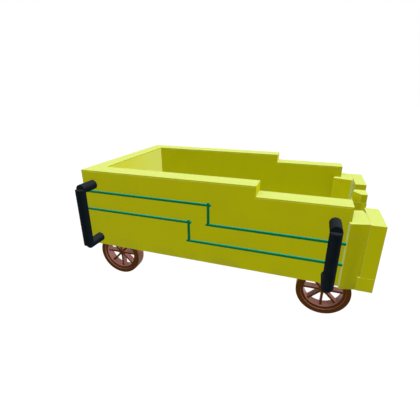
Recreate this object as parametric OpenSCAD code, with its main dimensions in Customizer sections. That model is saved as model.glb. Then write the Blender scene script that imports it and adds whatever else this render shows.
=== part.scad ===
// Open mine cart: double-skinned stepped tub, underframe, four spoked wheels on two dead axles,
// canted front posts with buffer blocks, grab handles and line pipes.
// Parts are drawn in tub coordinates: x from the rear face forwards, y from the centre line to the
// left, z from the skirt's lower edge upwards. in_place() then puts the ground under the middle at 0.

/* [Tub] */
// Length of each side wall
side_l = 1600; // [1500:10:1960]
// Width over the two side walls
tub_w = 1010; // [840:10:1220]
// Height of the walls behind the step, above the skirt's lower edge
rear_h = 513; // [460:1:620]
// Height of the side walls in front of the step
front_h = 454; // [400:1:455]
// Distance from the rear face to the step
step_x = 1120; // [930:10:1350]
// Thickness of each side wall over both skins
side_t = 120; // [110:1:145]
// Thickness of the rear wall over both skins
rear_t = 102; // [80:1:125]
// Thickness of the outer skins and of the end plates
skin_t = 6; // [5:0.5:10]
// Thickness of the inner skins
inner_t = 4; // [3:0.5:8]
// Thickness of the cap rails along the top of the walls
cap_t = 8; // [6:0.5:14]
// Number of stiffening ribs in each side wall
side_ribs = 5; // [3:1:7]
// Number of stiffening ribs in the rear wall
rear_ribs = 3; // [2:1:5]
// Thickness of each rib
rib_t = 5; // [4:0.5:8]

/* [Floor and underframe] */
// Height of the skirt's lower edge above the ground
ground_gap = 213; // [200:1:240]
// Height of the floor's underside above the skirt's lower edge
floor_rise = 112; // [108:1:135]
// Thickness of the floor plate
floor_t = 6; // [5:0.5:12]
// Width of each sole bar
sole_w = 50; // [42:1:60]
// Depth of each sole bar
sole_h = 80; // [66:1:96]
// Thickness of the sole bars' channel section
sole_t = 6; // [5:0.5:9]
// Width and depth of the square cross members
cross_s = 60; // [50:1:66]
// Wall of the cross members' tube
cross_t = 5; // [4:0.5:8]

/* [Wheels and axles] */
// Diameter of the wheels over the tread
wheel_d = 294; // [240:1:300]
// Width of the tyres
wheel_w = 67; // [60:1:72]
// Gap between a side wall's outer face and the wheel's outer face
wheel_inset = 19; // [17:1:24]
// Distance from the rear face to the rear axle
rear_axle_x = 202; // [180:1:240]
// Distance between the two axles
wheelbase = 1320; // [1250:10:1330]
// Radial thickness of each tyre
tyre_t = 27; // [22:1:33]
// Radial thickness of the wheel's inner ring
ring_t = 15.5; // [12:0.5:19]
// Depth that the inner ring is set back behind the tyre's outer face
ring_setback = 8; // [6:0.5:10]
// Depth that spokes and hub are set back behind the tyre's outer face
spoke_setback = 22; // [18:0.5:24]
// Depth of the spoke plates along the axle
spoke_depth = 40; // [34:1:44]
// Thickness of the spoke plates
spoke_t = 12; // [9:0.5:15]
// Number of spokes
spokes = 8; // [6:1:10]
// Diameter of the hub
hub_d = 46; // [42:1:56]
// Distance that the hub stands out behind the tyre's inner face
hub_proud = 5; // [3:0.5:8]
// Diameter of the axles
axle_d = 26; // [21:0.1:32]
// Wall of the bush between hub and axle
bush_t = 4; // [3:0.25:5]
// Length of the bush
bush_l = 35; // [30:1:36]
// Thickness of the cap in the hub's mouth
hub_cap_t = 5; // [4:0.5:6]
// Radial clearance of the bush on the axle
running_gap = 0.05; // [0.02:0.01:0.09]
// End float of the hub between its collar and its washer
end_float = 0.5; // [0.4:0.1:1]

/* [Grab handles] */
// Diameter of the handle's bar and stubs
handle_d = 60; // [50:1:75]
// Distance from the side wall to the bar's axis
handle_reach = 118; // [104:1:140]
// Distance from the rear face to the rear handles
rear_handle_x = 78; // [60:1:95]
// Distance from the rear face to the front handles
front_handle_x = 1526; // [1450:1:1535]
// Height of the lower stubs above the skirt's lower edge
handle_low_z = 55; // [48:1:70]
// Height of the rear handles' upper stubs
rear_handle_z = 423; // [380:1:440]
// Height of the front handles' upper stubs
front_handle_z = 363; // [300:1:380]
// Diameter of the countersunk handle screws
screw_d = 10; // [8:1:12]

/* [Line pipes] */
// Outer diameter of the pipes
pipe_d = 16.5; // [12:0.5:18]
// Wall of the pipes
pipe_wall = 2; // [1.5:0.25:3]
// Distance from the rear face to the pipes' rear ends
pipe_start_x = 6; // [0:1:50]
// Distance from the rear face to the upper line's riser
upper_riser_x = 856; // [700:1:950]
// Height of the upper line behind its riser
upper_rear_z = 378; // [360:1:385]
// Height of the upper line in front of its riser
upper_front_z = 258; // [240:1:300]
// Distance from the rear face to the lower line's riser
lower_riser_x = 734; // [600:1:820]
// Height of the lower line behind its riser
lower_rear_z = 257; // [230:1:300]
// Height of the lower line in front of its riser
lower_front_z = 137; // [130:1:160]
// Length that a pipe runs on past the axis of the pipe it crosses
pipe_overrun = 15; // [12:0.5:22]

/* [Front end] */
// Angle that the corner posts are turned inwards
post_turn = 14.5; // [9:0.5:17]
// Length of a corner post along its outer face
post_l = 129; // [115:1:145]
// Width of a corner post across the cart
post_w = 190; // [170:1:210]
// Height of posts and blocks above the skirt's lower edge
post_h = 376; // [340:1:395]
// Distance from the wall's front end back to a post's outer rear corner
post_back = 6.5; // [5:0.5:16]
// Distance that a post's outer rear corner stands outside the side wall
post_proud = 24.5; // [18:0.5:32]
// Distance from the wall's front end to the rear faces of the blocks
block_gap = 83; // [78:1:92]
// Thickness of the buffer blocks
block_t = 72; // [60:1:90]
// Width of the right buffer block
right_block_w = 250; // [230:1:300]
// Width of the left buffer block
left_block_w = 299; // [250:1:340]
// Distance that blocks and beam stand outside the side walls
block_proud = 8; // [5:0.5:10]
// Height of the buffer beam
beam_h = 80; // [60:1:100]
// Distance that the beam reaches back behind the blocks
beam_back = 11; // [8:0.5:16]
// Height of the sill plate above the skirt's lower edge
sill_h = 186; // [150:1:220]
// Height of the coupler's upper face
coupler_h = 339; // [310:1:360]
// Height of the coupler pocket's upper edge
coupler_step_z = 286; // [240:1:300]
// Reach of the coupler's head from the left block's inner face
coupler_reach = 112.5; // [90:0.5:130]
// Diameter of the drawbar pin holes in the beam
pin_hole_d = 32; // [24:1:40]
// Width of the drawbar slot in the beam's front
draw_slot_w = 120; // [90:1:150]
// Diameter of the tow bolt's hole in the rear skirt
tow_hole_d = 26; // [20:1:32]

/* [Hidden] */
$fn = 72;
half_w = tub_w / 2;
total_l = side_l + block_gap + block_t;
block_x = side_l + block_gap;
beam_x = block_x - beam_back;
sill_x = beam_x - skin_t;
floor_top = floor_rise + floor_t;
sole_y = half_w - side_t;
sole_z = floor_rise - sole_h;
axle_z = wheel_d / 2 - ground_gap;
axle_xs = [rear_axle_x, rear_axle_x + wheelbase];
wheel_r = wheel_d / 2;
ring_r = wheel_r - tyre_t;
spoke_end_r = ring_r - ring_t;
axle_r = axle_d / 2;
bush_r = axle_r + bush_t;
hub_r = hub_d / 2;
wheel_y = half_w - wheel_inset;
hub_back = wheel_w + hub_proud;
bush_front = hub_back - bush_l;
washer_t = 3;
washer_r = bush_r - 0.5;
washer_gap = 0.4;
circlip_t = 1.5;
circlip_r = bush_r - 1;
groove_r = axle_r - 1;
washer_w = bush_front - washer_gap - washer_t;
circlip_w = washer_w - 0.1 - circlip_t;
axle_end = circlip_w - 3;
seat_gap = 0.05;
pedestal_top_l = 110;
pedestal_foot_l = 70;
pedestal_drop = 34;
pedestal_bolt_x = 38;
pedestal_bolt_d = 12;
pedestal_bolt_depth = 28;
keeper_d = 10;
keeper_head_h = 7;
keeper_head_r = 9;
screw_depth = 30;
screw_head_h = screw_d / 2;
stud_d = 8;
stud_nut_h = 6;
stud_nut_r = 7.5;
stud_end = 2;
stud_step = 300;
stud_start = 134;
stud_margin = 60;
pipe_r = pipe_d / 2;
pipe_y = half_w + pipe_r + 0.2;
draw_plate_w = 140;
draw_plate_t = 16;
draw_plate_z = 16;
bolt_head_h = 8;
bolt_head_r = 10;
nut_room = 2;
screw_gap = 0.15;
pocket_t = 3;
head_sunk = 60;
eps = 1;
right = -1;
left = 1;

// Moves a part from tub coordinates to the cart's own frame.
module in_place() {
    translate([-total_l / 2, 0, ground_gap]) children();
}

// Draws a right-hand part on the given side.
module on_side(side) {
    if (side == right) children();
    else mirror([0, 1, 0]) children();
}

// A box from its lowest to its highest corner.
module box(low, high) {
    translate(low) cube(high - low);
}

// An outline in x and z, extruded across y from y1 to y2.
module side_plate(y1, y2) {
    translate([0, y2, 0]) rotate([90, 0, 0]) linear_extrude(y2 - y1) children();
}

// A cylinder along +y, from y1 to y2.
module bar_y(x, y1, y2, z, r) {
    translate([x, y1, z]) rotate([-90, 0, 0]) cylinder(h = y2 - y1, r = r);
}

// A cylinder along +x, from x1 to x2.
module bar_x(x1, x2, y, z, r) {
    translate([x1, y, z]) rotate([0, 90, 0]) cylinder(h = x2 - x1, r = r);
}

// Right-hand corner post as a full block, between the heights z1 and z2.
module post_block(z1 = 0, z2 = post_h, inset = 0) {
    translate([side_l - post_back, -half_w - post_proud, z1])
        rotate([0, 0, post_turn])
            translate([inset, inset, 0])
                cube([post_l - 2 * inset, post_w - 2 * inset, z2 - z1]);
}

// Both corner posts as full blocks, for cutting what meets them.
module both_post_blocks() {
    post_block(-eps);
    mirror([0, 1, 0]) post_block(-eps);
}

// Outline of a side skin in x and z, from height z1 up to the underside of the stepped cap.
module wall_outline(x1, x2, z1) {
    polygon([
        [x1, z1], [x2, z1], [x2, front_h - cap_t], [step_x - cap_t, front_h - cap_t],
        [step_x - cap_t, rear_h - cap_t], [x1, rear_h - cap_t]
    ]);
}

// Places of the handle screws on a right-hand wall, as [x, z].
handle_screw_places = [
    [rear_handle_x, handle_low_z], [rear_handle_x, rear_handle_z],
    [front_handle_x, handle_low_z], [front_handle_x, front_handle_z]
];

// Places of the pipe studs on a right-hand wall, as [x, z]: a row along each straight run.
function stud_row(x1, x2, z) = [for (x = [x1 : stud_step : x2]) [x, z]];
pipe_stud_places = concat(
    stud_row(pipe_start_x + stud_start, upper_riser_x - stud_margin, upper_rear_z),
    stud_row(upper_riser_x + stud_margin, side_l - stud_margin, upper_front_z),
    stud_row(pipe_start_x + stud_start, lower_riser_x - stud_margin, lower_rear_z),
    stud_row(lower_riser_x + stud_margin, side_l - stud_margin, lower_front_z)
);

module outer_skin(side) {
    color("gold") in_place() on_side(side) difference() {
        side_plate(-half_w, -half_w + skin_t)
            wall_outline(0, side_l - cap_t, 0);
        post_block(-eps);
        for (place = handle_screw_places) {
            bar_y(place[0], -half_w - eps, -half_w + skin_t + eps, place[1], screw_d / 2);
            translate([place[0], -half_w + skin_t + eps, place[1]])
                rotate([90, 0, 0])
                    cylinder(h = screw_head_h + eps, r1 = screw_d + eps, r2 = screw_d / 2);
        }
        for (place = pipe_stud_places)
            bar_y(place[0], -half_w - eps, -half_w + skin_t + eps, place[1], stud_d / 2);
    }
}

module inner_skin(side) {
    color("goldenrod") in_place() on_side(side) difference() {
        side_plate(-sole_y - inner_t, -sole_y)
            wall_outline(rear_t - inner_t, side_l - cap_t, floor_top);
        post_block();
    }
}

// The stepped cap runs along the wall's top and turns down its front end as far as the post.
module side_cap_rail(side) {
    color("khaki") in_place() on_side(side)
        side_plate(-half_w, -sole_y)
            polygon([
                [0, rear_h - cap_t], [0, rear_h], [step_x, rear_h], [step_x, front_h],
                [side_l, front_h], [side_l, post_h], [side_l - cap_t, post_h],
                [side_l - cap_t, front_h - cap_t], [step_x - cap_t, front_h - cap_t],
                [step_x - cap_t, rear_h - cap_t]
            ]);
}

// Ribs stand between the skins, notched round the nuts and the screw heads.
module side_wall_ribs(side) {
    first = rear_t + rib_t;
    last = side_l - post_back - post_w * sin(post_turn) - 2 * rib_t;
    color("darkgoldenrod") in_place() on_side(side) difference() {
        for (i = [0 : side_ribs - 1]) {
            x = first + (last - first) * i / (side_ribs - 1);
            top = x + rib_t < step_x - cap_t ? rear_h - cap_t : front_h - cap_t;
            box([x, -half_w + skin_t, floor_top], [x + rib_t, -sole_y - inner_t, top]);
        }
        for (place = pipe_stud_places)
            bar_y(place[0], -half_w + skin_t - eps, -half_w + skin_t + stud_nut_h + stud_end + nut_room,
                  place[1], stud_nut_r + nut_room);
        for (place = handle_screw_places)
            bar_y(place[0], -half_w + skin_t - eps, -half_w + skin_t + nut_room, place[1], screw_d + nut_room);
    }
}

module rear_outer_plate() {
    color("gold") in_place() difference() {
        box([0, -half_w + skin_t, 0], [skin_t, half_w - skin_t, rear_h - cap_t]);
        bar_x(-eps, skin_t + eps, 0, tow_z(), tow_hole_d / 2);
    }
}

function tow_z() = floor_rise / 2;

module rear_inner_plate() {
    color("goldenrod") in_place()
        box([rear_t - inner_t, -sole_y, floor_top], [rear_t, sole_y, rear_h - cap_t]);
}

module rear_cap_rail() {
    color("khaki") in_place()
        box([0, -sole_y, rear_h - cap_t], [rear_t, sole_y, rear_h]);
}

module rear_wall_ribs() {
    color("darkgoldenrod") in_place()
        for (i = [0 : rear_ribs - 1]) {
            y = sole_y * (2 * (i + 1) / (rear_ribs + 1) - 1);
            box([skin_t, y - rib_t / 2, floor_top], [rear_t - inner_t, y + rib_t / 2, rear_h - cap_t]);
        }
}

// Backing plate of the tow bolt, behind the rear skirt.
module rear_draw_plate() {
    color("dimgray") in_place() difference() {
        box([skin_t, -draw_plate_w / 2, draw_plate_z], [skin_t + draw_plate_t, draw_plate_w / 2, floor_rise]);
        bar_x(skin_t - eps, skin_t + draw_plate_t + eps, 0, tow_z(), tow_hole_d / 2);
    }
}

module floor_plate() {
    color("goldenrod") in_place() difference() {
        box([skin_t, -half_w + skin_t, floor_rise], [sill_x, half_w - skin_t, floor_top]);
        both_post_blocks();
        for (side = [right, left])
            on_side(side)
                box([side_l - cap_t, -half_w, floor_rise - eps], [sill_x + eps, -sole_y, floor_top + eps]);
    }
}

module sole_bar(side) {
    color("dimgray") in_place() on_side(side) difference() {
        box([skin_t, -sole_y, sole_z], [beam_x, -sole_y + sole_w, floor_rise]);
        box([skin_t - eps, -sole_y + sole_t, sole_z + sole_t],
            [beam_x + eps, -sole_y + sole_w + eps, floor_rise - sole_t]);
        for (x = axle_xs, dx = [-1, 1])
            translate([x + dx * pedestal_bolt_x, pedestal_bolt_y(), sole_z - eps])
                cylinder(h = sole_t + 2 * eps, r = pedestal_bolt_d / 2);
    }
}

function pedestal_bolt_y() = -sole_y + (sole_w + sole_t) / 2;

module cross_members() {
    pitch = wheelbase / 3;
    color("dimgray") in_place()
        for (i = [0 : 3]) {
            x = rear_axle_x + i * pitch;
            difference() {
                box([x - cross_s / 2, -sole_y + sole_w, floor_rise - cross_s],
                    [x + cross_s / 2, sole_y - sole_w, floor_rise]);
                box([x - cross_s / 2 + cross_t, -sole_y, floor_rise - cross_s + cross_t],
                    [x + cross_s / 2 - cross_t, sole_y, floor_rise - cross_t]);
            }
        }
}

// Closes the tub's front low down, between the posts, and backs the buffer beam.
module front_sill_plate() {
    color("gold") in_place() difference() {
        box([sill_x, -half_w + post_w, 0], [beam_x, half_w - post_w, sill_h]);
        both_post_blocks();
        for (side = [right, left])
            on_side(side)
                box([sill_x - eps, -sole_y, sole_z], [beam_x + eps, -sole_y + sole_w, floor_rise]);
    }
}

module pedestal(end, side) {
    color("dimgray") in_place() on_side(side) translate([axle_xs[end], 0, 0]) difference() {
        side_plate(-sole_y, -sole_y + sole_w)
            polygon([
                [-pedestal_foot_l / 2, axle_z - pedestal_drop], [pedestal_foot_l / 2, axle_z - pedestal_drop],
                [pedestal_foot_l / 2, axle_z + pedestal_drop / 2], [pedestal_top_l / 2, sole_z],
                [-pedestal_top_l / 2, sole_z], [-pedestal_foot_l / 2, axle_z + pedestal_drop / 2]
            ]);
        bar_y(0, -sole_y - eps, -sole_y + sole_w + eps, axle_z, axle_r + seat_gap);
        for (dx = [-1, 1])
            translate([dx * pedestal_bolt_x, pedestal_bolt_y(), sole_z - pedestal_bolt_depth])
                cylinder(h = pedestal_bolt_depth + eps, r = pedestal_bolt_d / 2);
        translate([0, -sole_y + sole_w / 2, axle_z - pedestal_drop - eps])
            cylinder(h = pedestal_drop, r = keeper_d / 2);
    }
}

// Draws a part at all four pedestals.
module at_pedestals() {
    for (side = [right, left], x = axle_xs)
        on_side(side) translate([x, 0, 0]) children();
}

module pedestal_bolts() {
    color("gray") in_place() at_pedestals()
        for (dx = [-1, 1])
            translate([dx * pedestal_bolt_x, pedestal_bolt_y(), sole_z + 0.1 - pedestal_bolt_depth]) {
                cylinder(h = pedestal_bolt_depth + sole_t, r = pedestal_bolt_d / 2 - seat_gap);
                translate([0, 0, pedestal_bolt_depth + sole_t - 0.1])
                    cylinder(h = bolt_head_h, r = bolt_head_r, $fn = 6);
            }
}

module axle_keeper_bolts() {
    color("gray") in_place() at_pedestals()
        translate([0, -sole_y + sole_w / 2, axle_z - pedestal_drop - keeper_head_h]) {
            cylinder(h = keeper_head_h, r = keeper_head_r, $fn = 6);
            cylinder(h = keeper_head_h + pedestal_drop - axle_r - 0.2, r = keeper_d / 2 - seat_gap);
        }
}

// A dead axle: a straight bar with a circlip groove near each end.
module axle(end) {
    tip_y = wheel_y - axle_end;
    groove_y = wheel_y - circlip_w;
    color("silver") in_place() difference() {
        bar_y(axle_xs[end], -tip_y, tip_y, axle_z, axle_r);
        for (side = [right, left])
            on_side(side) difference() {
                bar_y(axle_xs[end], -groove_y, -groove_y + circlip_t, axle_z, axle_r + eps);
                bar_y(axle_xs[end], -groove_y - eps, -groove_y + circlip_t + eps, axle_z, groove_r);
            }
    }
}

// Draws a part in wheel coordinates, z from the tyre's outer face inwards along the axle.
module at_wheel(end, side) {
    on_side(side) translate([axle_xs[end], -wheel_y, axle_z]) rotate([-90, 0, 0]) children();
}

module at_wheels() {
    for (end = [0, 1], side = [right, left]) at_wheel(end, side) children();
}

// A ring around the wheel's axis, from z1 to z2.
module ring(z1, z2, r_in, r_out) {
    translate([0, 0, z1]) difference() {
        cylinder(h = z2 - z1, r = r_out);
        translate([0, 0, -eps]) cylinder(h = z2 - z1 + 2 * eps, r = r_in);
    }
}

module axle_collars() {
    color("dimgray") in_place() at_wheels()
        ring(hub_back + end_float, wheel_y - sole_y, axle_r + seat_gap, hub_r);
}

module axle_washers() {
    color("silver") in_place() at_wheels()
        ring(washer_w, washer_w + washer_t, axle_r + seat_gap, washer_r);
}

module axle_circlips() {
    color("silver") in_place() at_wheels()
        ring(circlip_w, circlip_w + circlip_t, groove_r + seat_gap, circlip_r);
}

module tyre(end, side) {
    color("saddlebrown") in_place() at_wheel(end, side) ring(0, wheel_w, ring_r, wheel_r);
}

module wheel_centre(end, side) {
    color("sienna") in_place() at_wheel(end, side) difference() {
        union() {
            ring(ring_setback, wheel_w, spoke_end_r, ring_r);
            translate([0, 0, spoke_setback]) {
                cylinder(h = hub_back - spoke_setback, r = hub_r);
                for (i = [0 : spokes - 1])
                    rotate([0, 0, 360 * i / spokes])
                        translate([bush_r, -spoke_t / 2, 0])
                            cube([spoke_end_r + eps - bush_r, spoke_t, spoke_depth]);
            }
        }
        translate([0, 0, spoke_setback - eps])
            cylinder(h = hub_back - spoke_setback + 2 * eps, r = bush_r);
    }
}

module bush(end, side) {
    color("darkorange") in_place() at_wheel(end, side)
        ring(bush_front, hub_back, axle_r + running_gap, bush_r);
}

module hub_cap(end, side) {
    color("saddlebrown") in_place() at_wheel(end, side)
        translate([0, 0, spoke_setback]) {
            cylinder(h = hub_cap_t, r = bush_r);
            translate([0, 0, -2]) cylinder(h = 2 + eps, r = bush_r - 3);
        }
}

// A handle is a bar between two stubs; the bar ends on the stubs' axes.
module handle(x, low_z, high_z) {
    color("black") difference() {
        union() {
            translate([x, -half_w - handle_reach, low_z]) cylinder(h = high_z - low_z, r = handle_d / 2);
            for (z = [low_z, high_z])
                bar_y(x, -half_w - handle_reach, -half_w, z, handle_d / 2);
        }
        for (z = [low_z, high_z])
            bar_y(x, -half_w - screw_depth, -half_w + eps, z, screw_d / 2);
    }
}

module rear_handle(side) {
    in_place() on_side(side) handle(rear_handle_x, handle_low_z, rear_handle_z);
}

module front_handle(side) {
    in_place() on_side(side) handle(front_handle_x, handle_low_z, front_handle_z);
}

// Screws sit flush in the outer skin's inner face, clear of the wheels.
module handle_screws() {
    color("silver") in_place()
        for (side = [right, left], place = handle_screw_places)
            on_side(side) translate([place[0], -half_w + skin_t, place[1]]) rotate([90, 0, 0]) {
                cylinder(h = screw_head_h, r1 = screw_d - screw_gap, r2 = screw_d / 2 - screw_gap);
                cylinder(h = skin_t + screw_depth - eps, r = screw_d / 2 - screw_gap);
            }
}

// One line of pipe as round bars that cross: a rear run, a riser and a front run. The closed ends
// run past the crossings by overrun, and the open ends past the line's own ends by past.
module pipe_line(riser_x, rear_z, front_z, r, overrun, past) {
    bar_x(pipe_start_x - past, riser_x + overrun, -pipe_y, rear_z, r);
    translate([riser_x, -pipe_y, front_z]) cylinder(h = rear_z - front_z + overrun, r = r);
    bar_x(riser_x - overrun, side_l + past, -pipe_y, front_z, r);
}

// The upper and the lower line of a right-hand wall.
module pipe_lines(r, overrun, past) {
    pipe_line(upper_riser_x, upper_rear_z, upper_front_z, r, overrun, past);
    pipe_line(lower_riser_x, lower_rear_z, lower_front_z, r, overrun, past);
}

module pipes(side) {
    color("teal") in_place() on_side(side) difference() {
        pipe_lines(pipe_r, pipe_overrun, 0);
        pipe_lines(pipe_r - pipe_wall, pipe_overrun - pipe_wall, eps);
        post_block(-eps);
    }
}

// Studs hold the pipes through the outer skin, each with a nut inside the wall.
module pipe_studs() {
    color("silver") in_place()
        for (side = [right, left], place = pipe_stud_places)
            on_side(side) difference() {
                union() {
                    bar_y(place[0], -pipe_y, -half_w + skin_t + stud_nut_h + stud_end, place[1], stud_d / 2 - seat_gap);
                    translate([place[0], -half_w + skin_t, place[1]])
                        rotate([-90, 0, 0]) cylinder(h = stud_nut_h, r = stud_nut_r, $fn = 6);
                }
                bar_x(place[0] - stud_d, place[0] + stud_d, -pipe_y, place[1], pipe_r);
            }
}

// A corner post is a box of plate, open below. Under the floor it is cut away behind its outer
// face, where the sole bar and its pedestal pass through.
module post(side) {
    color("gold") in_place() on_side(side) difference() {
        post_block();
        post_block(-eps, post_h - skin_t, skin_t);
        box([0, -half_w + skin_t, -eps], [block_x, -sole_y + sole_w, floor_rise]);
        block_box(post_h + eps);
        box([beam_x, -half_w - block_proud, -eps], [total_l, half_w, beam_h]);
    }
}

// The space of the right-hand block above the beam.
module block_box(top) {
    box([block_x, -half_w - block_proud, beam_h - eps], [total_l, -half_w - block_proud + right_block_w, top]);
}

// A hollow box of plate, open below.
module open_box(low, high) {
    difference() {
        box(low, high);
        box([low[0] + skin_t, low[1] + skin_t, low[2] - eps], [high[0] - skin_t, high[1] - skin_t, high[2] - skin_t]);
    }
}

module buffer_block(side) {
    width = side == right ? right_block_w : left_block_w;
    color("gold") in_place() on_side(side)
        open_box([block_x, -half_w - block_proud, beam_h],
                 [total_l, -half_w - block_proud + width, post_h]);
}

// The beam is a channel, open to the rear, with closed ends, a drawbar slot and a pin hole.
module front_beam() {
    y = half_w + block_proud;
    color("gold") in_place() difference() {
        box([beam_x, -y, 0], [total_l, y, beam_h]);
        box([beam_x - eps, -y + skin_t, skin_t], [total_l - skin_t, y - skin_t, beam_h - skin_t]);
        box([total_l - skin_t - eps, -draw_slot_w / 2, 2 * skin_t],
            [total_l + eps, draw_slot_w / 2, beam_h - 2 * skin_t]);
        translate([block_x + block_t / 2, 0, -eps]) cylinder(h = beam_h + 2 * eps, r = pin_hole_d / 2);
    }
}

// Inner face of the left buffer block.
function coupler_y() = half_w + block_proud - left_block_w;

// Corners of the head's outline, and of the outer line of the pocket's wall, as shares of the
// block's thickness and of the head's reach.
head_corners = [[0, 0], [-0.167, 0.435], [0.472, 1], [1, 0.96], [1, 0]];
pocket_corners = [[-0.056, 0], [-0.222, 0.4], [-0.222, 1.058], [0.611, 1.036], [1, 1.129]];

function coupler_points(corners, dx = 0, dy = 0) =
    [for (c = corners) [c[0] * block_t + dx, -c[1] * coupler_reach + dy]];

// One layer of the coupler, between the heights z1 and z2.
module coupler_layer(points, z1, z2) {
    color("gold") in_place() translate([block_x, coupler_y(), z1])
        linear_extrude(z2 - z1)
            polygon(points);
}

module coupler_head() {
    coupler_layer(coupler_points(head_corners), coupler_step_z - head_sunk, coupler_h);
}

// A wall of plate round the rear and the inner side of the head, open to the front.
module coupler_pocket() {
    inner = [
        for (i = [len(pocket_corners) - 1 : -1 : 0])
            coupler_points([pocket_corners[i]], i < 3 ? pocket_t : 0, i > 1 ? pocket_t : 0)[0]
    ];
    coupler_layer(concat(coupler_points(pocket_corners), inner), sill_h, coupler_step_z);
}

outer_skin(right);  // right_outer_skin
outer_skin(left);  // left_outer_skin
inner_skin(right);  // right_inner_skin
inner_skin(left);  // left_inner_skin
side_cap_rail(right);  // right_cap_rail
side_cap_rail(left);  // left_cap_rail
side_wall_ribs(right);  // right_wall_ribs
side_wall_ribs(left);  // left_wall_ribs
rear_outer_plate();
rear_inner_plate();
rear_cap_rail();
rear_wall_ribs();
rear_draw_plate();
floor_plate();
sole_bar(right);  // right_sole_bar
sole_bar(left);  // left_sole_bar
cross_members();
front_sill_plate();
pedestal(0, right);  // rear_right_pedestal
pedestal(0, left);  // rear_left_pedestal
pedestal(1, right);  // front_right_pedestal
pedestal(1, left);  // front_left_pedestal
pedestal_bolts();
axle_keeper_bolts();
axle(0);  // rear_axle
axle(1);  // front_axle
axle_collars();
axle_washers();
axle_circlips();
tyre(0, right);  // rear_right_tyre
tyre(0, left);  // rear_left_tyre
tyre(1, right);  // front_right_tyre
tyre(1, left);  // front_left_tyre
wheel_centre(0, right);  // rear_right_wheel_centre
wheel_centre(0, left);  // rear_left_wheel_centre
wheel_centre(1, right);  // front_right_wheel_centre
wheel_centre(1, left);  // front_left_wheel_centre
bush(0, right);  // rear_right_bush
bush(0, left);  // rear_left_bush
bush(1, right);  // front_right_bush
bush(1, left);  // front_left_bush
hub_cap(0, right);  // rear_right_hub_cap
hub_cap(0, left);  // rear_left_hub_cap
hub_cap(1, right);  // front_right_hub_cap
hub_cap(1, left);  // front_left_hub_cap
rear_handle(right);  // rear_right_handle
rear_handle(left);  // rear_left_handle
front_handle(right);  // front_right_handle
front_handle(left);  // front_left_handle
handle_screws();
pipes(right);  // right_pipes
pipes(left);  // left_pipes
pipe_studs();
post(right);  // right_post
post(left);  // left_post
buffer_block(right);  // right_buffer_block
buffer_block(left);  // left_buffer_block
front_beam();
coupler_head();
coupler_pocket();
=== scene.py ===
"""Mine cart: the looks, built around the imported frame.

Plates are eased copies of the frame's own plates. Wheels, grips, pipes, hub caps and weld beads are
surfaces worked out as whole arrays: rows of closed loops carried along a path.
"""

from __future__ import annotations

import logging
import math
from dataclasses import dataclass, field
from enum import Enum

import bmesh
import bpy
import numpy as np
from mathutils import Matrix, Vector

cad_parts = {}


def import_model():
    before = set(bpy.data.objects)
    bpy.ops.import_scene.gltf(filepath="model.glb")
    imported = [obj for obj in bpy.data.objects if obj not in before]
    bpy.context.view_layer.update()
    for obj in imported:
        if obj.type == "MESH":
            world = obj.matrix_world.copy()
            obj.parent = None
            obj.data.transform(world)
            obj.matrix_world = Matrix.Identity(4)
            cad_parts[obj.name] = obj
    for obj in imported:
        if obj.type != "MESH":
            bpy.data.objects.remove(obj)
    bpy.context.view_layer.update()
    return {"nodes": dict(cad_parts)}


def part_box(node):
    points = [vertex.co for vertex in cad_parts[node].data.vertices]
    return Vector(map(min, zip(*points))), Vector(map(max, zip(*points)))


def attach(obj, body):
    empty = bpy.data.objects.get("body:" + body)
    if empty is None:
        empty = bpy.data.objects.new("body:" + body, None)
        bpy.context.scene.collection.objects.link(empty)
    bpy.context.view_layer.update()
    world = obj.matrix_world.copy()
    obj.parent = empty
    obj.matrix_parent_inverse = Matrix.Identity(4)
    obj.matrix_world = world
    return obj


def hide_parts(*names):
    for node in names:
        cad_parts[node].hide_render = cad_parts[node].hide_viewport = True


log = logging.getLogger("mine_cart")

Colour = tuple[float, float, float]
Triple = tuple[float, float, float]
Socket = bpy.types.NodeSocket
TAU = 2.0 * math.pi


class Slot(Enum):
    """Material slots of the record."""

    PAINT = "yellow_paint"
    PAINT_TOP = "yellow_paint_top"
    PAINT_WORN = "yellow_paint_worn"
    PRIMER = "primed_steel"
    UNDERFRAME = "underframe_grey"
    TYRE = "tyre_iron"
    WHEEL = "wheel_iron"
    BRONZE = "bronze"
    GRIP = "black_grip"
    PIPE = "green_pipe"
    AXLE = "axle_steel"
    FASTENER = "zinc_fasteners"


class Side(Enum):
    """Side of the cart, with the sign of its y."""

    RIGHT = -1
    LEFT = 1

    @property
    def word(self) -> str:
        """Name of the side as the nodes spell it."""
        return self.name.lower()


class End(Enum):
    """End of the cart."""

    REAR = "rear"
    FRONT = "front"


# ---------------------------------------------------------------- surfaces


@dataclass
class Surface:
    """A skin of points with faces of equal corner counts and a UV pair for each corner.

    Attributes:
        points: array (n, 3) in metres.
        faces: index arrays, each (m, 3) or (m, 4).
        uvs: one array (m, corners, 2) for each array in faces.
    """

    points: np.ndarray
    faces: list[np.ndarray]
    uvs: list[np.ndarray]

    def volume(self) -> float:
        """Signed volume: a sum over triangles of a . (b x c) / 6."""
        total = 0.0
        for block in self.faces:
            for k in range(1, block.shape[1] - 1):
                a, b, c = (self.points[block[:, i]] for i in (0, k, k + 1))
                total += float(np.einsum("ij,ij->", a, np.cross(b, c))) / 6.0
        return total

    def outward(self) -> Surface:
        """The same surface with its faces turned so that they point outwards."""
        if self.volume() >= 0.0:
            return self
        return Surface(self.points, [f[:, ::-1] for f in self.faces], [u[:, ::-1] for u in self.uvs])

    def turned(self, centre: np.ndarray, angle: float) -> Surface:
        """A copy turned about the y axis through a centre.

        Args:
            centre: point on the axis.
            angle: turn in radians.

        Returns:
            The turned surface.
        """
        c, s = math.cos(angle), math.sin(angle)
        turn = np.array([[c, 0, s], [0, 1, 0], [-s, 0, c]])
        return Surface((self.points - centre) @ turn.T + centre, self.faces, self.uvs)


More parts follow.
